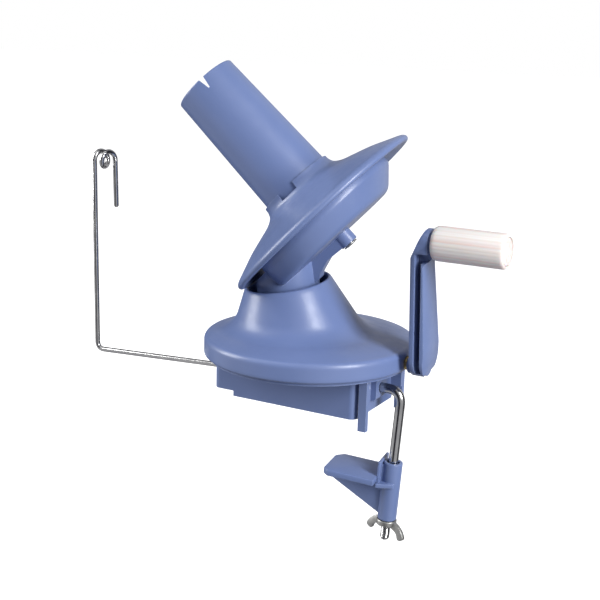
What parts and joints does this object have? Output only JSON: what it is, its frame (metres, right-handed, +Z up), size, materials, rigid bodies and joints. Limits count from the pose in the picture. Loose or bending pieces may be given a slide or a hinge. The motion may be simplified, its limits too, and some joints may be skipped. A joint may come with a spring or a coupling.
{
  "type": "yarn ball winder",
  "caption": "Hand-cranked yarn ball winder: a leaning hollow spool on a geared head, round base with table clamp, side crank and wire yarn guide.",
  "frame": {"origin": "on the flat sole that rests on the table, under the middle of the round cover", "axes": "+X along the crank shaft toward the crank, +Z up, -Y toward the side from which the crank is on the right"},
  "size_m": [0.2635, 0.1215, 0.2564],
  "materials": {
    "blue_plastic": "satin moulded",
    "ivory_plastic": "ribbed ivory with faint pink streaks",
    "gear_nylon": "natural nylon",
    "polished_steel": "bright drawn bar",
    "zinc_steel": "dull zinc plate",
    "bushing_brass": "machined"
  },
  "bodies": {
    "base": {"top_cover": "blue_plastic", "lower_case": "blue_plastic", "case_screw_1": "zinc_steel", "case_screw_2": "zinc_steel", "case_screw_3": "zinc_steel", "case_screw_4": "zinc_steel", "outer_bushing": "bushing_brass", "inner_bushing": "bushing_brass", "post_bracket": "zinc_steel", "bracket_screw_1": "zinc_steel", "bracket_screw_2": "zinc_steel", "centre_post": "polished_steel", "thrust_washer": "polished_steel", "sun_gear": "gear_nylon", "sun_gear_clip": "zinc_steel"},
    "crank": {"crank_shaft": "polished_steel", "crank_gear": "gear_nylon", "inner_shaft_clip": "zinc_steel", "outer_shaft_clip": "zinc_steel", "crank_arm": "blue_plastic", "grip_axle": "polished_steel", "grip_clip": "zinc_steel"},
    "hand_grip": {"grip": "ivory_plastic", "grip_end_cap": "ivory_plastic"},
    "head": {"head_carrier": "blue_plastic", "head_pinion": "gear_nylon", "spool_axle": "polished_steel", "lower_axle_clip": "zinc_steel", "upper_axle_clip": "zinc_steel"},
    "spool": {"spool_flange": "blue_plastic", "spool_tube": "blue_plastic", "spool_gear": "gear_nylon", "upper_spool_washer": "polished_steel", "lower_spool_washer": "polished_steel"},
    "clamp": {"clamp_rod": "polished_steel", "rod_clip": "zinc_steel"},
    "clamp_jaw": {"jaw": "blue_plastic"},
    "clamp_nut": {"wing_nut": "zinc_steel"},
    "guide": {"yarn_guide": "polished_steel", "guide_clip": "zinc_steel"}
  },
  "joints": [
    {"name": "crank_spin", "type": "hinge", "parent": "base", "child": "crank", "pos_m": [0, 0, 0.0285], "axis": [1, 0, 0], "continuous": true},
    {"name": "grip_spin", "type": "hinge", "parent": "crank", "child": "hand_grip", "pos_m": [0, -0.00958, 0.09663], "axis": [1, 0, 0], "continuous": true},
    {"name": "head_spin", "type": "hinge", "parent": "base", "child": "head", "pos_m": [-0.008, 0, 0.0285], "axis": [-0.1368, -0.1069, 0.9848], "continuous": true},
    {"name": "spool_spin", "type": "hinge", "parent": "head", "child": "spool", "pos_m": [0.0078, -0.00383, 0.10366], "axis": [-0.6913, -0.1741, 0.7013], "continuous": true},
    {"name": "clamp_rod_swing", "type": "hinge", "parent": "base", "child": "clamp", "pos_m": [0.0444, 0, 0.0125], "axis": [1, 0, 0], "range_deg": [-15, 15]},
    {"name": "jaw_slide", "type": "slide", "parent": "clamp", "child": "clamp_jaw", "axis": [0.0698, 0, 0.9976], "range_m": [0, 0.014]},
    {"name": "wing_nut_turn", "type": "hinge", "parent": "clamp_jaw", "child": "clamp_nut", "pos_m": [0.0565, 0, 0.0125], "axis": [0.0698, 0, 0.9976], "range_deg": [0, 6300]},
    {"name": "yarn_guide_swing", "type": "hinge", "parent": "base", "child": "guide", "pos_m": [-0.047, 0, 0.0075], "axis": [1, 0, 0], "range_deg": [-90, 90]}
  ],
  "couplings": [
    {"joint": "head_spin", "follows": "crank_spin", "ratio": -3},
    {"joint": "spool_spin", "follows": "crank_spin", "ratio": -1.0286},
    {"joint": "jaw_slide", "follows": "wing_nut_turn", "m_per_rad": 0.00012732}
  ]
}
